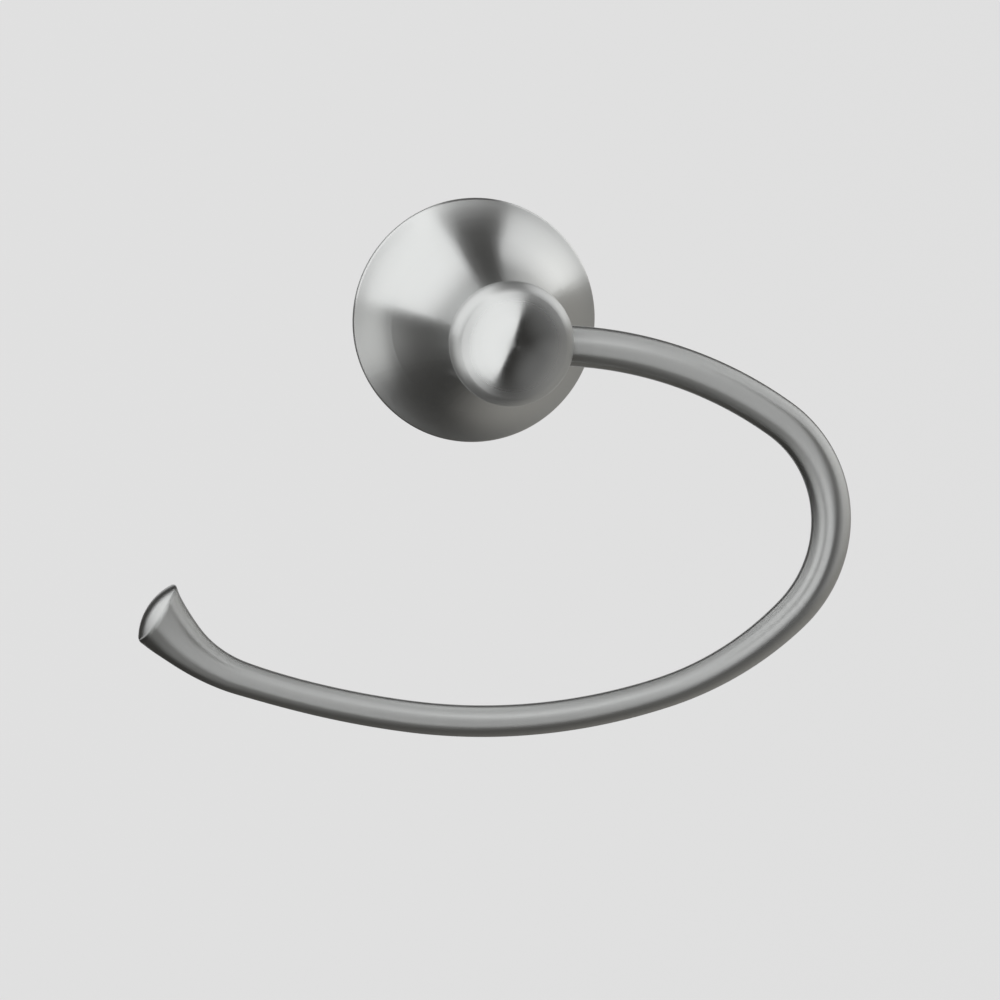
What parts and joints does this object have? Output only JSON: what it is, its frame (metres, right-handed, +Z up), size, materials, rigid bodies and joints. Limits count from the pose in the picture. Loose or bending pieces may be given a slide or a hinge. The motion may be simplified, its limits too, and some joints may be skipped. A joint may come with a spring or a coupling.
{
  "type": "towel ring",
  "caption": "Wall-mounted towel holder: a trumpet-shaped post with a domed head carries an open, C-shaped tapered bar with a flared tip.",
  "frame": {"origin": "centre of the round base, on the wall plane that it is fixed to", "axes": "+Y into the wall along the post's axis (the object stands out towards -Y), +X to the right-hand side where the bar leaves the head, +Z up"},
  "size_m": [0.1815, 0.0598, 0.132],
  "materials": {
    "brushed_nickel": "satin, brushed round the post and along the bar",
    "screw_steel": "plain steel",
    "bracket_zinc": "zinc plated"
  },
  "bodies": {
    "root": {"post": "brushed_nickel", "arm": "brushed_nickel", "arm_lock_screw": "screw_steel", "wall_bracket": "bracket_zinc", "set_screw": "screw_steel"}
  },
  "joints": []
}
